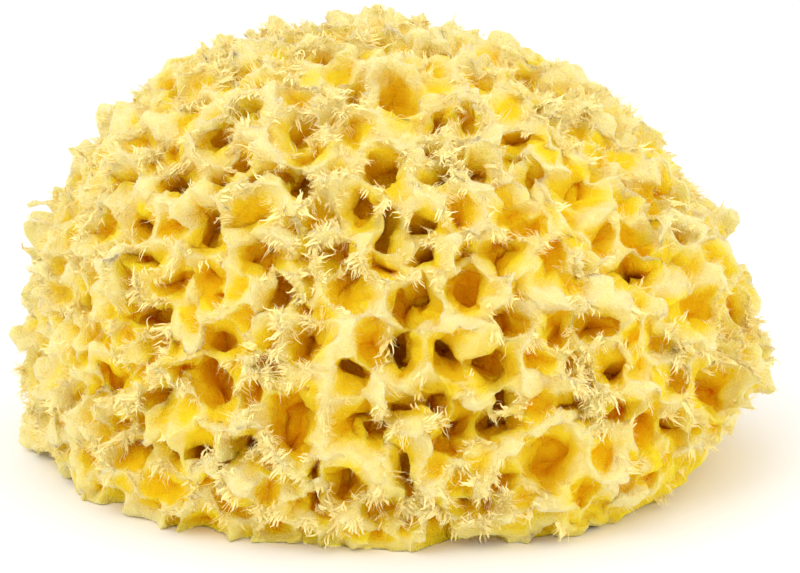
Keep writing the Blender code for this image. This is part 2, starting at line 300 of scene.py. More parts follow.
for right_mm, up_mm, width_mm, height_mm, depth_mm in SMALL_SEEN:
    sight = (AIM + picture_right * right_mm * MM + picture_up * up_mm * MM - eye).normalized()
    mouth, normal, _, _ = skin.ray_cast(eye, sight)
    inward = (sight - normal).normalized()
    radius = math.sqrt(width_mm * height_mm) * MM / 2
    spread = max(width_mm - height_mm, 0) * MM / 2
    for aside in (-spread, spread) if spread > radius * DOUBLE_FROM else (0,):
        place = mouth + picture_right * aside
        dig(place, place + inward * depth_mm * MM, radius, radius * BOTTOM_SHARE)
print("small canals that show:", len(SMALL_SEEN))


# %% Dig hollows in what is left of the skin
HOLLOW_TRIES = 6000
HOLLOW_RADIUS = (0.4 * MM, 2.2 * MM)
HOLLOW_DEPTH = (0.5 * MM, 6 * MM)
HOLLOW_GAP = 2.3 * MM
HOLLOW_TILT = 0.5
HOLLOW_START = 1.5 * MM
SPIRAL_MIDDLE = Vector((0, 0, 18 * MM))
SPIRAL_DROP = 1.35
GOLDEN_ANGLE = math.pi * (3 - math.sqrt(5))
chooser = np.random.default_rng(SEED)


def canal_distance(point):
    """How far the nearest canal is from a point of the block."""
    return float(sampled(to_canal, np.array([point]))[0])


dug = 0
for step in range(HOLLOW_TRIES):
    rise = 1 - SPIRAL_DROP * (step + 0.5) / HOLLOW_TRIES
    level = math.sqrt(1 - rise * rise)
    direction = Vector((math.cos(step * GOLDEN_ANGLE) * level, math.sin(step * GOLDEN_ANGLE) * level, rise))
    radius = chooser.uniform(*HOLLOW_RADIUS)
    depth = chooser.uniform(*HOLLOW_DEPTH)
    tilt = Vector(chooser.uniform(-HOLLOW_TILT, HOLLOW_TILT, 3))
    mouth, normal, _, _ = skin.ray_cast(SPIRAL_MIDDLE, direction)
    if mouth.z < 0:
        continue
    outward = normal if normal.dot(direction) > 0 else -normal
    place = mouth - outward * HOLLOW_START
    if canal_distance(place) > radius + HOLLOW_GAP:
        dig(place, place + (tilt - outward).normalized() * depth, radius, radius * BOTTOM_SHARE)
        dug += 1
print("hollows dug:", dug)

# %% Dig the canals that the knife cut through underneath
CUT_TRIES = 260
CUT_RADIUS = (0.8 * MM, 2.8 * MM)
CUT_DEPTH = (3 * MM, 8 * MM)
CUT_GAP = 1.2 * MM
CUT_LEAN = 0.4

cut_low, cut_high = plain_points.min(0), plain_points.max(0)
dug = 0
for _ in range(CUT_TRIES):
    place = Vector((*chooser.uniform(cut_low[:2], cut_high[:2]), 0))
    radius = chooser.uniform(*CUT_RADIUS)
    lean = Vector((*chooser.uniform(-CUT_LEAN, CUT_LEAN, 2), 1))
    depth = chooser.uniform(*CUT_DEPTH)
    if canal_distance(place) > radius + CUT_GAP:
        dig(place, place + lean * depth, radius, radius * BOTTOM_SHARE)
        dug += 1
print("canals dug in the cut face:", dug)

# %% [markdown]
# ## Funnels, crests and canal floors
# Each canal of the real sponge opens in a funnel, and where two funnels meet they leave a crest. So the
# crests needn't be drawn: they come by themselves from the distance to the nearest canal. Most canals
# turn aside a little way in, and what shows is their lit wall, so the canals get a floor here.

# %% Flare every canal into a funnel
CANALS_WIDENED = 0.5 * MM
FUNNEL_WIDTH = 3 * MM
FUNNEL_DEPTH = 6.5 * MM
FUNNEL_POWER = 1.5
CREST_BELOW_SKIN = 0.9 * MM
CREST_VARIES = 1.2 * MM
CREST_LUMPS = 7 * MM
ROUNDED_FOOT = 7 * MM
FOOT_DRAWN_IN = 2.4 * MM
NEAREST = 1.6
BLEND = 1.4 * MM

nearness = np.clip(1 - (to_canal - CANALS_WIDENED) / FUNNEL_WIDTH, 0, NEAREST)
crest_level = CREST_BELOW_SKIN + CREST_VARIES * lumps(CREST_LUMPS, 1)
crest_level += FOOT_DRAWN_IN * np.clip(1 - height / ROUNDED_FOOT, 0, 1) ** 2
above_funnel = crest_level + FUNNEL_DEPTH * nearness ** FUNNEL_POWER - below_skin
in_canal = CANALS_WIDENED - to_canal
blend = np.clip(0.5 + 0.5 * (above_funnel - in_canal) / BLEND, 0, 1)
body = in_canal + (above_funnel - in_canal) * blend + BLEND * blend * (1 - blend)
print("part of the block that is sponge:", round(float((body < 0).mean()), 2))

# %% Roughen the walls, put in the floors and cut the foot flat
COARSE_LUMPS = 3 * MM
FINE_LUMPS = 1.5 * MM
ROUGH_WIDE = 0.7 * MM
ROUGH_CREST = 0.65 * MM
ROUGH_INSIDE = 0.35 * MM
CREST_ZONE = 5 * MM
FLOOR_BELOW_SKIN = 12 * MM
FLOOR_VARIES = 3 * MM
FLOOR_LUMPS = 8 * MM
FLOOR_ROUGH = 0.6 * MM
FLOORS_ABOVE = 9 * MM

body += ROUGH_WIDE * lumps(COARSE_LUMPS, 2)
body += np.where(below_skin < CREST_ZONE, ROUGH_CREST, ROUGH_INSIDE) * lumps(FINE_LUMPS, 3)
floor_depth = FLOOR_BELOW_SKIN + FLOOR_VARIES * lumps(FLOOR_LUMPS, 4) + FLOOR_ROUGH * lumps(COARSE_LUMPS, 5)
body = np.minimum(body, np.maximum(floor_depth - below_skin, FLOORS_ABOVE - height))
body = np.maximum(body, -height)
body_points, body_triangles = surface_of(body)
print("body triangles before thinning:", len(body_triangles))

# %% Measure how crowded with sponge each place is
NEAR = 0.7 * MM
FAR = 2 * MM

filled = (body < 0).astype(np.float32)
crowd_near = blurred(filled, NEAR)
crowd_far = blurred(filled, FAR)
print("mean crowding:", round(float(crowd_far.mean()), 2))


# %% [markdown]
# ## Node trees
# Geometry Nodes make what repeats or follows a rule. A tree can be drawn by hand in Blender's editor, but
# a script is easier to read and to repeat, so a small class adds nodes and links them in one line each.

# %% A helper class for node trees
class PlainTree:
    """A Geometry Nodes tree with named sizes as its inputs."""

    def __init__(self, name, sizes):
        self.tree = bpy.data.node_groups.new(name, "GeometryNodeTree")
        interface = self.tree.interface
        interface.new_socket("Geometry", in_out="INPUT", socket_type="NodeSocketGeometry")
        interface.new_socket("Geometry", in_out="OUTPUT", socket_type="NodeSocketGeometry")
        for size, start in sizes.items():
            kind = "NodeSocketInt" if isinstance(start, int) else "NodeSocketFloat"
            interface.new_socket(size, in_out="INPUT", socket_type=kind).default_value = start
        self.given = self.tree.nodes.new("NodeGroupInput").outputs
        self.result = self.tree.nodes.new("NodeGroupOutput").inputs["Geometry"]

    def add(self, kind, inputs=None, **settings):
        """A new node, its settings made and each input linked to a socket or set to a value."""
        node = self.tree.nodes.new(kind)
        for setting, value in settings.items():
            setattr(node, setting, value)
        for name, value in (inputs or {}).items():
            self.feed(node.inputs[name], value)
        return node

    def feed(self, socket, value):
        """Links an input to a socket, sets it to a value, or leaves it alone for None."""
        if isinstance(value, bpy.types.NodeSocket):
            self.tree.links.new(value, socket)
        elif value is not None:
            socket.default_value = value

    def finish(self, geometry):
        """Makes this geometry the tree's result."""
        self.tree.links.new(geometry, self.result)


# %% The same class with short names for the sums that come back often
class NodeTree(PlainTree):
    """A tree with shorthand for numbers, vectors, attributes and chance."""

    def math(self, operation, first, second=None):
        return self.add("ShaderNodeMath", {0: first, 1: second}, operation=operation).outputs[0]

    def times(self, first, *others):
        for other in others:
            first = self.math("MULTIPLY", first, other)
        return first

    def vector(self, operation, first, second=None):
        return self.add("ShaderNodeVectorMath", {0: first, 1: second}, operation=operation).outputs[0]

    def scaled(self, vector, by):
        return self.add("ShaderNodeVectorMath", {0: vector, "Scale": by}, operation="SCALE").outputs[0]

    def plus(self, first, *others):
        for other in others:
            first = self.vector("ADD", first, other)
        return first

    def place(self):
        return self.add("GeometryNodeInputPosition").outputs[0]

    def parts(self, vector):
        return self.add("ShaderNodeSeparateXYZ", {0: vector}).outputs

    def read(self, name, kind="FLOAT_VECTOR"):
        return self.add("GeometryNodeInputNamedAttribute", {"Name": name}, data_type=kind).outputs[0]

    def store(self, geometry, name, value, kind="FLOAT_VECTOR"):
        inputs = {"Geometry": geometry, "Name": name, "Value": value}
        return self.add("GeometryNodeStoreNamedAttribute", inputs, data_type=kind, domain="POINT").outputs[0]

    def chance(self, low, high, seed, number=None):
        """An even random value for each point, the same for points that carry the same number."""
        kind = "FLOAT_VECTOR" if isinstance(low, tuple) else "FLOAT"
        node = self.add("FunctionNodeRandomValue", data_type=kind)
        wanted = {"Min": low, "Max": high, "Seed": seed, "ID": number}
        for socket in node.inputs:
            if socket.enabled:
                self.feed(socket, wanted[socket.name])
        return next(socket for socket in node.outputs if socket.enabled)

    def any_way(self, seed, number=None):
        """A random vector for each point, each of its parts between -1 and 1."""
        return self.chance((-1.0,) * 3, (1.0,) * 3, seed, number)

    def swirl(self, place, spacing, reach):
        """Soft random offsets, about reach metres long, that change over spacing metres."""
        noise = self.add("ShaderNodeTexNoise", {"Vector": place, "Scale": 1 / spacing, "Detail": 1.0})
        centred = self.vector("SUBTRACT", noise.outputs["Color"], (0.5, 0.5, 0.5))
        return self.scaled(centred, self.times(reach, 4.0))


# %% Helpers from a tree or a modifier to a plain mesh
def placed(name, mesh):
    """A new object in the scene that holds the mesh."""
    made = bpy.data.objects.new(name, mesh)
    bpy.context.scene.collection.objects.link(made)
    return made


def evaluated(carrier):
    """The plain mesh that an object's modifiers make. The object itself is taken away."""
    bpy.context.view_layer.update()
    graph = bpy.context.evaluated_depsgraph_get()
    mesh = bpy.data.meshes.new_from_object(carrier.evaluated_get(graph))
    bpy.data.objects.remove(carrier)
    return mesh


def grown(tree, mesh, sizes):
    """The plain mesh that a tree makes of a mesh when its named inputs have these sizes."""
    carrier = placed("carrier", mesh)
    modifier = carrier.modifiers.new("grow", "NODES")
    modifier.node_group = tree.tree
    for item in tree.tree.interface.items_tree:
        if item.item_type == "SOCKET" and item.in_out == "INPUT" and item.name in sizes:
            modifier[item.identifier] = sizes[item.name]
    return evaluated(carrier)


def triangle_count(mesh):
    """How many triangles the mesh has when each face is cut into triangles."""
    return sum(len(face.vertices) - 2 for face in mesh.polygons)


def points_of(mesh):
    """The places of the mesh's points as rows of three numbers."""
    points = np.empty(len(mesh.vertices) * 3, np.float32)
    mesh.vertices.foreach_get("co", points)
    return points.reshape(-1, 3)


# %% [markdown]
# ## The body
# The surface of the block has over 700,000 triangles, some of them in loose crumbs. The crumbs are dropped
# by a small tree that counts the points of each island. Decimate then thins the smooth valleys most and
# keeps the crests, where the eye looks for detail.

# %% Drop the crumbs
SMALLEST_PIECE = 20000

loose = bpy.data.meshes.new("loose_body")
loose.from_pydata(body_points.tolist(), [], body_triangles.tolist())

crumbs = NodeTree("drop_crumbs", {"Smallest": SMALLEST_PIECE})
island = crumbs.add("GeometryNodeInputMeshIsland").outputs["Island Index"]
counted = crumbs.add("GeometryNodeAccumulateField", {"Value": 1.0, "Group ID": island}, data_type="FLOAT")
crumb = crumbs.add("FunctionNodeCompare", {0: counted.outputs["Total"], 1: crumbs.given["Smallest"]},
                   data_type="FLOAT", operation="LESS_THAN").outputs[0]
kept = crumbs.add("GeometryNodeDeleteGeometry", {"Geometry": crumbs.given["Geometry"], "Selection": crumb})
crumbs.finish(kept.outputs[0])
whole = grown(crumbs, loose, {})
print("body triangles without crumbs:", triangle_count(whole))

# %% Thin the valleys out
BODY_TRIANGLES = 190000
WEIGHT_STEPS = 10
VALLEY_RAMP = 0.25
VALLEY_START = 1.6
LEAST_WEIGHT = 0.1

valley = np.clip(sampled(crowd_near, points_of(whole)) / VALLEY_RAMP - VALLEY_START, LEAST_WEIGHT, 1)
carrier = placed("carrier", whole)
group = carrier.vertex_groups.new(name="valley")
for weight in range(1, WEIGHT_STEPS + 1):
    chosen = np.nonzero(np.round(valley * WEIGHT_STEPS) == weight)[0]
    group.add(chosen.tolist(), weight / WEIGHT_STEPS, "REPLACE")
thinning = carrier.modifiers.new("fewer_triangles", "DECIMATE")
thinning.ratio = BODY_TRIANGLES / triangle_count(whole)
thinning.vertex_group = group.name
thinned = evaluated(carrier)
print("body triangles:", triangle_count(thinned))


# %% [markdown]
# ## What each place of the body is like
# The colour goes from cream on the crests through golden valleys to brown canals, and fibres stand on crests
# alone. The colour is partly the flesh's own and partly painted shade, darker and redder where it is deep
# and crowded. Both are numbers that the voxels already know, so they are written on the mesh as attributes,
# which the material and the fibre trees read.

# %% A helper that stores values on a mesh
def store_on(mesh, name, values):
    """Stores one number or one vector for each point of a mesh."""
    kind, part = ("FLOAT", "value") if values.ndim == 1 else ("FLOAT_VECTOR", "vector")
    attribute = mesh.attributes.new(name, kind, "POINT")
    attribute.data.foreach_set(part, np.ascontiguousarray(values, np.float32).ravel())


def ramp(values, low, high):
    """0 up to low, 1 from high on, and a straight line between. Low may be the larger of the two."""
    return np.clip((values - low) / (high - low), 0, 1)


# %% Store the shade
CROWDED = (0.35, 0.75)
DEEPEST_SHADE = 14 * MM
# Painted light: the top and the left side are painted paler, where the light falls strongest.
PAINTED_LIGHT_TOP = (45 * MM, 85 * MM)
PAINTED_LIGHT_LEFT = (-45 * MM, -70 * MM)
TOP_SHARE = 0.7
LEFT_SHARE = 0.6
PAINTED_LIGHT_BY = 0.65
CUT_FACE_TOP = 0.1 * MM
CUT_FACE_SHADE = 0.22

points = points_of(thinned)
# The shade rises with depth below the skin and with crowding. It is partly the flesh's own colour, cream on
# the crests and golden lower down, and partly painted shade: deep canals and crowded hollows are painted
# darker and redder.
depth = sampled(below_skin, points)
hollow = ramp(sampled(crowd_far, points), *CROWDED)
# Painted light: the shade is lowered, so the colour is paler, towards the top and the left.
painted_light = TOP_SHARE * ramp(points[:, 2], *PAINTED_LIGHT_TOP) + LEFT_SHARE * ramp(points[:, 0], *PAINTED_LIGHT_LEFT)
shade = (hollow + ramp(depth, 0, DEEPEST_SHADE)) / 2 * (1 - PAINTED_LIGHT_BY * np.minimum(painted_light, 1))
shade = np.where(points[:, 2] < CUT_FACE_TOP, CUT_FACE_SHADE, shade)
store_on(thinned, "shade", shade)
print("mean shade:", round(float(shade.mean()), 2))

# %% Store where fibres stand
BARE_FOOT = (1.5 * MM, 3.5 * MM)
CREST_CROWDING = (0.50, 0.28)
CREST_DEPTH = (9 * MM, 3 * MM)
WEB_DEPTH = (5.5 * MM, 2.5 * MM)
MOUTH_REACH = (3.2 * MM, 1.7 * MM)
PATCH_LUMPS = 6 * MM
PATCH_EDGE = (-0.3, 0.3)
AWAY_FROM_MOUTHS = 0.05
BETWEEN_PATCHES = 0.06

above_cut = ramp(points[:, 2], *BARE_FOOT)
crest = ramp(sampled(crowd_near, points), *CREST_CROWDING) * ramp(depth, *CREST_DEPTH) * above_cut
at_mouth = ramp(sampled(to_canal, points), *MOUTH_REACH)
patches = ramp(sampled(lumps(PATCH_LUMPS, 6), points), *PATCH_EDGE)
rim = crest * (AWAY_FROM_MOUTHS + (1 - AWAY_FROM_MOUTHS) * at_mouth)
rim = rim * (BETWEEN_PATCHES + (1 - BETWEEN_PATCHES) * patches)
web = ramp(depth, *WEB_DEPTH) * above_cut
store_on(thinned, "rim", rim)
store_on(thinned, "web", web)
print("share of the surface that is crest:", round(float((crest > 0.5).mean()), 2))

# %% Store which way fibres lean
outward = -slope_at(below_skin, points)
to_mouth = -slope_at(to_canal, points)
to_mouth -= outward * (outward * to_mouth).sum(axis=1, keepdims=True)
store_on(thinned, "outward", outward)
store_on(thinned, "to_mouth", to_mouth)
print("mean way out:", outward.mean(axis=0).round(2).tolist())

# %% [markdown]
# ## Warp and teeth
# Dug canals are too round. A tree warps the whole body by two soft noises, one wide and one narrow, and
# pulls single points of the rims out towards the mouths, which leaves small torn teeth. The foot is moved
# sideways only, so that the cut stays flat.

# %% Warp the body
WIDE_SPACING = 9 * MM
NARROW_SPACING = 3 * MM
STILL_HEIGHT = 6 * MM
TEETH_RARITY = 2.0
TEETH_OUT = 0.6
TEETH_OVER = 0.7
TEETH_STRAY = 0.4

warp = NodeTree("warp", {"Wide Warp": 2.2 * MM, "Narrow Warp": 0.9 * MM, "Teeth": 1.3 * MM})
given = warp.given
place = warp.place()
offset = warp.plus(warp.swirl(place, WIDE_SPACING, given["Wide Warp"]),
                   warp.swirl(place, NARROW_SPACING, given["Narrow Warp"]))
height_share = warp.math("DIVIDE", warp.parts(place)["Z"], STILL_HEIGHT)
lifted = warp.add("ShaderNodeClamp", {"Value": height_share}).outputs[0]
parts = warp.parts(offset)
offset = warp.add("ShaderNodeCombineXYZ", {
    "X": parts["X"], "Y": parts["Y"], "Z": warp.times(parts["Z"], lifted)}).outputs[0]
heading = warp.vector("NORMALIZE", warp.plus(
    warp.scaled(warp.read("outward"), TEETH_OUT), warp.scaled(warp.read("to_mouth"), TEETH_OVER),
    warp.scaled(warp.any_way(31), TEETH_STRAY)))
pull = warp.math("MAXIMUM", warp.chance(-TEETH_RARITY, 1.0, 32), 0.0)
tooth = warp.scaled(heading, warp.times(pull, warp.read("rim", "FLOAT"), given["Teeth"]))
warp.finish(warp.add("GeometryNodeSetPosition", {
    "Geometry": given["Geometry"], "Offset": warp.plus(offset, tooth)}).outputs[0])
body_mesh = grown(warp, thinned, {})
body_mesh.name = "sponge_body"
heights = points_of(body_mesh)[:, 2] / MM
print("lowest and highest point, mm:", round(float(heights.min()), 2), round(float(heights.max()), 2))

# %% Shade it smooth, but keep the thin crests and the edge of the cut sharp
SHARPEST_SMOOTH = math.radians(40)

body_mesh.shade_smooth()
body_mesh.set_sharp_from_angle(angle=SHARPEST_SMOOTH)
print("edges left sharp:", sum(item.value for item in body_mesh.attributes["sharp_edge"].data))

# %% [markdown]
# ## The colour of the flesh
# Dry sponge flesh is dull, and light passes some way into it, so its shadows glow. A colour ramp follows
# the stored shade, from cream through gold to a painted brown shade for the deep canals, a noise mottles
# it, and subsurface scattering lets the light in. A fine bump stands for the net of fibres, which is finer
# than any mesh could be here.

# %% Helpers for a new material and for the colour from crest to canal
# Painted shade: the later stops darken and redden the flesh for crowded hollows and deep canals.
SHADES = [
    (0.05, (0.98, 0.80, 0.37)),
    (0.19, (0.98, 0.74, 0.18)),
    (0.31, (0.98, 0.69, 0.03)),
    (0.55, (0.98, 0.61, 0.01)),
    (0.80, (0.98, 0.51, 0.006)),
    (1.00, (0.98, 0.42, 0.005)),
]
MOTTLE_SCALE = 420
MOTTLE_REACH = 0.30


def new_material(name):
    """A new material with its nodes and its links."""
    material = bpy.data.materials.new(name)
    material.use_nodes = True
    return material, material.node_tree.nodes, material.node_tree.links


def shade_colour(nodes, links):
    """The colour of the stored shade, mottled by a noise."""
    stored = nodes.new("ShaderNodeAttribute")
    stored.attribute_name = "shade"
    place = nodes.new("ShaderNodeTexCoord")
    mottle = nodes.new("ShaderNodeTexNoise")
    mottle.inputs["Scale"].default_value = MOTTLE_SCALE
    mottle.inputs["Detail"].default_value = 4
    mottle.inputs["Roughness"].default_value = 0.65
    links.new(place.outputs["Object"], mottle.inputs["Vector"])
    lowered = nodes.new("ShaderNodeMath")
    lowered.operation = "SUBTRACT"
    lowered.inputs[1].default_value = MOTTLE_REACH / 2
    links.new(stored.outputs["Fac"], lowered.inputs[0])
    uneven = nodes.new("ShaderNodeMath")
    uneven.operation = "MULTIPLY_ADD"
    uneven.inputs[1].default_value = MOTTLE_REACH
    links.new(mottle.outputs["Fac"], uneven.inputs[0])
    links.new(lowered.outputs[0], uneven.inputs[2])
    colours = nodes.new("ShaderNodeValToRGB")
    links.new(uneven.outputs[0], colours.inputs["Fac"])
    stops = colours.color_ramp.elements
    stops.remove(stops[-1])
    stops[0].position = SHADES[0][0]
    stops[0].color = (*SHADES[0][1], 1)
    for position, colour in SHADES[1:]:
        stops.new(position).color = (*colour, 1)
    return colours.outputs["Color"]


# %% Make the flesh
flesh, nodes, links = new_material("sponge_flesh")
shader = nodes["Principled BSDF"]
shader.inputs["Roughness"].default_value = 0.95
shader.inputs["Specular IOR Level"].default_value = 0.0
shader.inputs["Subsurface Weight"].default_value = 0.65
shader.inputs["Subsurface Radius"].default_value = (4.5 * MM, 4 * MM, 1.2 * MM)
shader.inputs["Subsurface Scale"].default_value = 1.0
links.new(shade_colour(nodes, links), shader.inputs["Base Color"])

place = nodes.new("ShaderNodeTexCoord")
net = nodes.new("ShaderNodeTexNoise")
net.inputs["Scale"].default_value = 2200
net.inputs["Detail"].default_value = 3
links.new(place.outputs["Object"], net.inputs["Vector"])
bump = nodes.new("ShaderNodeBump")
bump.inputs["Strength"].default_value = 0.9
bump.inputs["Distance"].default_value = 0.8 * MM
links.new(net.outputs["Fac"], bump.inputs["Height"])
links.new(bump.outputs["Normal"], shader.inputs["Normal"])
print(flesh.name, "has", len(nodes), "nodes")

# %% Put the body in the place of the plain solid
body_mesh.materials.append(flesh)
sponge_body = placed("sponge_body", body_mesh)
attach(sponge_body, "root")
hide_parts("sponge")
print(sponge_body.name, triangle_count(body_mesh), "triangles")

# %% [markdown]
# ## The finish of the fibres
# The fibres of the real sponge are the same flesh, but paler towards their dry tips. So they take the shade
# of the place that they grow on, painted shade and painted light included, and fade to cream along their
# length.

# %% Make the fibre finish
fibre_finish, nodes, links = new_material("sponge_fibre")
shader = nodes["Principled BSDF"]
shader.inputs["Roughness"].default_value = 0.9
shader.inputs["Specular IOR Level"].default_value = 0.0
stored = nodes.new("ShaderNodeAttribute")
stored.attribute_name = "along"
towards_tip = nodes.new("ShaderNodeMapRange")
towards_tip.inputs["To Min"].default_value = 0.3
towards_tip.inputs["From Max"].default_value = 0.6
links.new(stored.outputs["Fac"], towards_tip.inputs["Value"])
paler = nodes.new("ShaderNodeMix")
paler.data_type = "RGBA"
paler.inputs["B"].default_value = (0.98, 0.86, 0.40, 1)
links.new(towards_tip.outputs["Result"], paler.inputs["Factor"])
links.new(shade_colour(nodes, links), paler.inputs["A"])
links.new(paler.outputs["Result"], shader.inputs["Base Color"])
print(fibre_finish.name, "has", len(nodes), "nodes")

# %% [markdown]
# ## Torn fingers and hairs
# The crests of the real sponge end in torn sheets that lean over the mouths and split into crooked fingers
# and hairs. Hair curves would be lost on export, so each finger is a small three-sided cone that
# Geometry Nodes bends along a curve. Fingers grow in short rows whose feet touch, and gather in clumps.
# Where one would reach below the cut, it lies on the table instead.

# %% A helper that bends a cone along a curve on every point
CROOK_SPACING = 1.2 * MM
LEAST_HEIGHT = 0.4 * MM
TIP = 1.001
USED_UP = ("root", "middle", "tip", "around", "side", "half_width", "half_depth", "outward", "to_mouth",
           "rim", "web", "row")


def bent_cones(tree, roots, width_along):
    """Cones on points that carry root, middle, tip and side, bent from root by way of middle to tip."""
    given = tree.given
    plain_cone = {"Vertices": 3, "Side Segments": given["Steps"], "Radius Top": 0.0, "Radius Bottom": 1.0,
                  "Depth": 1.0}
    cone = tree.add("GeometryNodeMeshCone", plain_cone, fill_type="NONE").outputs["Mesh"]
    parts = tree.parts(tree.place())
    cone = tree.store(cone, "along", parts["Z"], "FLOAT")
    around = tree.add("ShaderNodeCombineXYZ", {"X": parts["X"], "Y": parts["Y"]}).outputs[0]
    cone = tree.store(cone, "around", around)
    standing = tree.add("GeometryNodeInstanceOnPoints", {"Points": roots, "Instance": cone}).outputs[0]
    loose = tree.add("GeometryNodeRealizeInstances", {0: standing}).outputs[0]
    root, middle, tip, side = [tree.read(name) for name in ("root", "middle", "tip", "side")]
    along = tree.read("along", "FLOAT")
    back = tree.math("SUBTRACT", 1.0, along)
    spine = tree.plus(tree.scaled(root, tree.times(back, back)),
                      tree.scaled(middle, tree.times(back, along, 2.0)),
                      tree.scaled(tip, tree.times(along, along)))
    spine = tree.plus(spine, tree.scaled(tree.swirl(spine, CROOK_SPACING, given["Crook"]), along))
    parts = tree.parts(spine)
    lying = tree.math("MAXIMUM", parts["Z"], LEAST_HEIGHT)
    spine = tree.add("ShaderNodeCombineXYZ", {"X": parts["X"], "Y": parts["Y"], "Z": lying}).outputs[0]
    front = tree.vector("NORMALIZE", tree.vector("CROSS_PRODUCT", tree.vector("SUBTRACT", tip, root), side))
    width = width_along(tree, along)
    ring = tree.parts(tree.read("around"))
    spot = tree.plus(spine,
                     tree.scaled(side, tree.times(ring["X"], width, tree.read("half_width", "FLOAT"))),
                     tree.scaled(front, tree.times(ring["Y"], width, tree.read("half_depth", "FLOAT"))))
    bent = tree.add("GeometryNodeSetPosition", {"Geometry": loose, "Position": spot}).outputs[0]
    for name in USED_UP:
        bent = tree.add("GeometryNodeRemoveAttribute", {"Geometry": bent, "Name": name}).outputs[0]
    tree.finish(tree.add("GeometryNodeSetMaterial", {"Geometry": bent, "Material": fibre_finish}).outputs[0])


# %% Two ways for a cone to taper
HAIR_TAPER = -0.4


def finger_width(tree, along):
    """Wide at the foot and narrow from half way, as a share of the plain cone's own width."""
    narrowed = tree.add("ShaderNodeMapRange", {
        "Value": along, "From Min": 0.2, "From Max": 0.85, "To Min": 1.0, "To Max": 0.36},
        interpolation_type="SMOOTHSTEP").outputs["Result"]
    return tree.math("DIVIDE", narrowed, tree.math("SUBTRACT", TIP, along))


def hair_width(tree, along):
    """Nearly even up to a short point."""
    return tree.math("POWER", tree.math("SUBTRACT", TIP, along), HAIR_TAPER)


# %% A helper for where fibres stand
def scattered(tree, where):
    """Random points on the body, as many as an attribute of that name asks for."""
    given = tree.given
    density = tree.times(given["Density"], tree.read(where, "FLOAT"))
    return tree.add("GeometryNodeDistributePointsOnFaces", {
        "Mesh": given["Geometry"], "Density": density, "Seed": given["Seed"]}).outputs["Points"]


# %% A helper for how a row of fingers leans
LEAST_RISE = 0.1
MOST_RISE = 0.9
ROW_STRAY = 0.35
TURN_STRAY = 0.2


def leaning(tree, row):
    """The way a row points, between outward and over the mouth, and the way it runs."""
    outward = tree.read("outward")
    rise = tree.chance(LEAST_RISE, MOST_RISE, 11, row)
    over = tree.math("SUBTRACT", LEAST_RISE + 1.0, rise)
    heading = tree.vector("NORMALIZE", tree.plus(
        tree.scaled(outward, rise), tree.scaled(tree.read("to_mouth"), over),
        tree.scaled(tree.any_way(12, row), ROW_STRAY)))
    crosswise = tree.vector("CROSS_PRODUCT", heading, outward)
    crosswise = tree.plus(crosswise, tree.scaled(tree.any_way(13, row), TURN_STRAY))
    along_heading = tree.add("ShaderNodeVectorMath", {0: crosswise, 1: heading}, operation="DOT_PRODUCT")
    askew = tree.scaled(heading, along_heading.outputs["Value"])
    side = tree.vector("NORMALIZE", tree.vector("SUBTRACT", crosswise, askew))
    return heading, side


# %% A helper that gathers the tips of a row in clumps
OWN_PLACE = 0.45
CLUMP_PLACE = 0.6
MOST_CLUMPS = 31.0


def clumped(tree, share, row):
    """Where in the row a finger's tip ends up, and the number of the clump that it joins."""
    clumps = tree.given["Clumps"]
    start = tree.chance(0.0, 1.0, 18, row)
    clump = tree.math("FLOOR", tree.math("ADD", tree.times(share, clumps), start))
    middle = tree.math("DIVIDE", tree.math("SUBTRACT", tree.math("ADD", clump, 0.5), start), clumps)
    tip_share = tree.math("ADD", tree.times(share, OWN_PLACE), tree.times(middle, CLUMP_PLACE))
    return tip_share, tree.math("ADD", tree.times(row, MOST_CLUMPS), clump)


# %% Helpers for how long a finger is and the three points that it bends along
ARCH = 2.0
CLUMP_LENGTH = (0.35, 1.25)
FINGER_LENGTH = (0.75, 1.0)
FOOT_DEPTH = 0.4 * MM
TIP_STRAY = 0.3
MIDDLE_LIFT = 0.2


def uneven_length(tree, share, size, clump):
    """The length of a finger: shorter at the ends of its row, and different in each clump."""
    arch = tree.math("SUBTRACT", 1.0, tree.times(share, share, ARCH))
    uneven = tree.times(tree.chance(*CLUMP_LENGTH, 15, clump), tree.chance(*FINGER_LENGTH, 16))
    return tree.times(tree.given["Length"], size, arch, uneven)


def bend(tree, heading, side, foot_at, tip_at, length, clump):
    """The root in the flesh, the lifted middle and the drooping tip of a finger."""
    given = tree.given
    place = tree.place()
    foot = tree.plus(place, tree.scaled(side, foot_at))
    touching = tree.add("GeometryNodeProximity", {"Geometry": given["Geometry"], "Sample Position": foot},
                        target_element="FACES").outputs["Position"]
    root = tree.vector("SUBTRACT", touching, tree.scaled(heading, FOOT_DEPTH))
    down = tree.add("ShaderNodeCombineXYZ", {"Z": tree.times(given["Droop"], -1.0)}).outputs[0]
    tip = tree.plus(place, tree.scaled(side, tip_at), tree.scaled(heading, length),
                    tree.scaled(tree.any_way(17, clump), tree.times(length, TIP_STRAY)), down)
    lift = tree.scaled(tree.read("outward"), tree.times(length, MIDDLE_LIFT))
    return root, tree.plus(tree.scaled(tree.plus(root, tip), 0.5), lift), tip


# %% The tree for rows of fingers or hairs
ROW_SIZE = (0.5, 1.3)


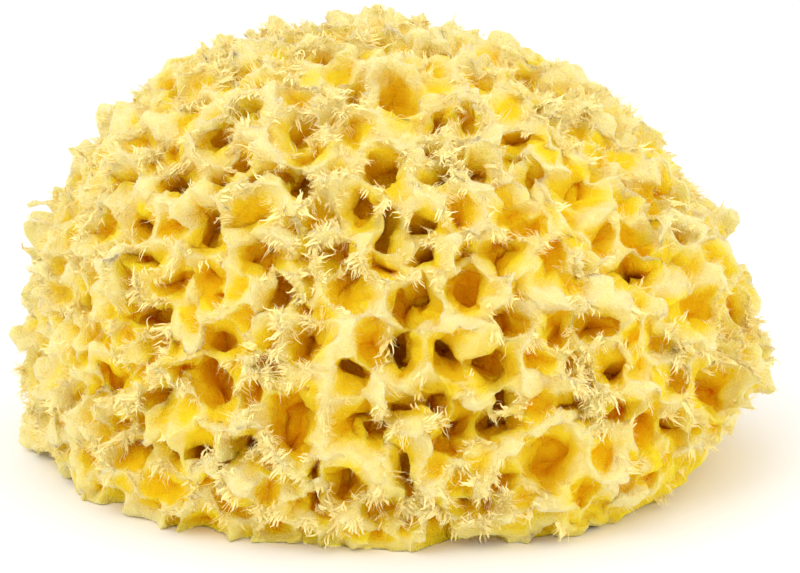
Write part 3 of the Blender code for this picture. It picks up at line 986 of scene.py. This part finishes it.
def row_tree(name, width_along):
    """A tree that grows rows of bent cones on the rims, leaning over the nearest mouth."""
    tree = NodeTree(name, {
        "Density": 50000.0, "Seed": 1, "Fingers": 3, "Clumps": 1.5, "Width": 1.8 * MM, "Length": 2.8 * MM,
        "Depth": 0.1 * MM, "Overlap": 0.5, "Droop": 0.4 * MM, "Crook": 0.8 * MM, "Steps": 5})
    given = tree.given
    marked = tree.store(scattered(tree, "rim"), "row", tree.add("GeometryNodeInputIndex").outputs[0], "INT")
    rows = tree.add("GeometryNodeDuplicateElements", {
        "Geometry": marked, "Amount": given["Fingers"]}, domain="POINT")
    row = tree.read("row", "INT")
    heading, side = leaning(tree, row)
    size = tree.chance(*ROW_SIZE, 14, row)
    width = tree.times(given["Width"], size)
    share = tree.math("DIVIDE", tree.math("ADD", rows.outputs["Duplicate Index"], 0.5), given["Fingers"])
    share = tree.math("SUBTRACT", share, 0.5)
    tip_share, clump = clumped(tree, share, row)
    length = uneven_length(tree, share, size, clump)
    foot_at = tree.times(share, width)
    tip_at = tree.times(tip_share, width)
    root, middle, tip = bend(tree, heading, side, foot_at, tip_at, length, clump)
    points = rows.outputs["Geometry"]
    half_width = tree.times(tree.math("DIVIDE", width, given["Fingers"]), given["Overlap"])
    points = tree.store(points, "half_width", half_width, "FLOAT")
    points = tree.store(points, "half_depth", given["Depth"], "FLOAT")
    for name, value in (("side", side), ("root", root), ("middle", middle), ("tip", tip)):
        points = tree.store(points, name, value)
    bent_cones(tree, points, width_along)
    return tree


fingers = row_tree("torn_fingers", finger_width)
hairs = row_tree("frayed_hairs", hair_width)
print("nodes in the tree of the fingers:", len(fingers.tree.nodes))

# %% Measure the rims and the webs between the mouths
areas = np.empty(len(body_mesh.polygons), np.float32)
body_mesh.polygons.foreach_get("area", areas)
corners = np.empty(len(body_mesh.loops), np.int32)
body_mesh.loops.foreach_get("vertex_index", corners)
corners = corners.reshape(-1, 3)
rim_area = float((areas * rim[corners].mean(axis=1)).sum())
web_area = float((areas * web[corners].mean(axis=1)).sum())
print("rims and webs, square mm:", round(rim_area / MM ** 2), round(web_area / MM ** 2))


# %% Grow the fingers and the hairs
FINGER_ROWS = 1950
HAIR_ROWS = 1900


def grow_piece(name, tree, sizes):
    """One finished piece of fibres on the body."""
    made = placed(name, grown(tree, body_mesh, sizes))
    made.data.name = name
    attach(made, "root")
    print(name, triangle_count(made.data), "triangles")


for piece in (1, 2):
    grow_piece(f"torn_fingers_{piece}", fingers, {"Seed": piece, "Density": FINGER_ROWS / rim_area})
    grow_piece(f"frayed_hairs_{piece}", hairs, {
        "Seed": piece, "Density": HAIR_ROWS / rim_area, "Fingers": 6, "Clumps": 2.0, "Width": 2.4 * MM,
        "Length": 3.2 * MM, "Depth": 0.07 * MM, "Overlap": 0.2, "Crook": 1.0 * MM, "Steps": 3})

# %% [markdown]
# ## Felt
# Between the mouths the real sponge is covered in short fibres that point every way, like felt. They are
# too short to show a bend, so each is a straight cone of three triangles and there can be many of them.

# %% Make the tree for the felt
FELT_RISE = 0.35
FELT_LENGTH = (0.35, 1.5)
FELT_FOOT = 0.2 * MM
FELT_SIDE = (0.3, 0.5, 0.8)

felt = NodeTree("felt", {
    "Density": 600000.0, "Seed": 5, "Length": 1.5 * MM, "Thickness": 0.055 * MM,
    "Crook": 0.3 * MM, "Steps": 1})
heading = felt.vector("NORMALIZE", felt.plus(felt.scaled(felt.read("outward"), FELT_RISE), felt.any_way(21)))
length = felt.times(felt.given["Length"], felt.chance(*FELT_LENGTH, 22))
place = felt.place()
root = felt.vector("SUBTRACT", place, felt.scaled(heading, FELT_FOOT))
tip = felt.plus(place, felt.scaled(heading, length))
middle = felt.scaled(felt.plus(root, tip), 0.5)
side = felt.vector("NORMALIZE", felt.vector("CROSS_PRODUCT", heading, FELT_SIDE))
points = scattered(felt, "web")
for name in ("half_width", "half_depth"):
    points = felt.store(points, name, felt.given["Thickness"], "FLOAT")
for name, value in (("side", side), ("root", root), ("middle", middle), ("tip", tip)):
    points = felt.store(points, name, value)
bent_cones(felt, points, hair_width)
print("nodes in the tree of the felt:", len(felt.tree.nodes))

# %% Grow the felt
FELT_HAIRS = 49000

grow_piece("felt", felt, {"Density": FELT_HAIRS / web_area})

# %% Take off the body what only the trees needed
for name in ("rim", "web", "outward", "to_mouth"):
    body_mesh.attributes.remove(body_mesh.attributes[name])
left_on = [attribute.name for attribute in body_mesh.attributes if not attribute.is_internal]
print("left on the body:", left_on)

# %% [markdown]
# ## Floor and light
# The picture was taken on white with soft light from all round. A pale floor and a white sky give nearly
# all of that, and two large lamps, one high on the left and one weak on the right, give the crests a side.

# %% Make the floor
FLOOR_HALF = 3.0

floor_mesh = bpy.data.meshes.new("floor")
floor_mesh.from_pydata(
    [(-FLOOR_HALF, -FLOOR_HALF, 0), (FLOOR_HALF, -FLOOR_HALF, 0), (FLOOR_HALF, FLOOR_HALF, 0),
     (-FLOOR_HALF, FLOOR_HALF, 0)], [], [(0, 1, 2, 3)])
floor = placed("floor", floor_mesh)
pale, nodes, links = new_material("pale_floor")
nodes["Principled BSDF"].inputs["Base Color"].default_value = (0.95, 0.95, 0.95, 1)
nodes["Principled BSDF"].inputs["Roughness"].default_value = 0.8
floor_mesh.materials.append(pale)
print("floor, metres across:", FLOOR_HALF * 2)

# %% Make the white sky
SKY_STRENGTH = 1.14

world = bpy.data.worlds.new("world")
world.use_nodes = True
world.node_tree.nodes["Background"].inputs["Color"].default_value = (1, 1, 1, 1)
world.node_tree.nodes["Background"].inputs["Strength"].default_value = SKY_STRENGTH
bpy.context.scene.world = world
bpy.context.scene.view_settings.view_transform = "Standard"
print("strength of the sky:", SKY_STRENGTH)

# %% Hang two soft lamps
LIT_POINT = Vector((0, 0, 40 * MM))


def soft_light(name, place, size, watts):
    """A square lamp that faces the sponge."""
    data = bpy.data.lights.new(name, "AREA")
    data.shape = "SQUARE"
    data.size = size
    data.energy = watts
    made = placed(name, data)
    made.location = place
    made.rotation_euler = (LIT_POINT - Vector(place)).to_track_quat("-Z", "Y").to_euler()
    print(name, watts, "W")


soft_light("key_light", place=(-0.35, -0.45, 0.75), size=0.5, watts=1.7)
soft_light("fill_light", place=(0.6, -0.5, 0.4), size=0.6, watts=0.7)
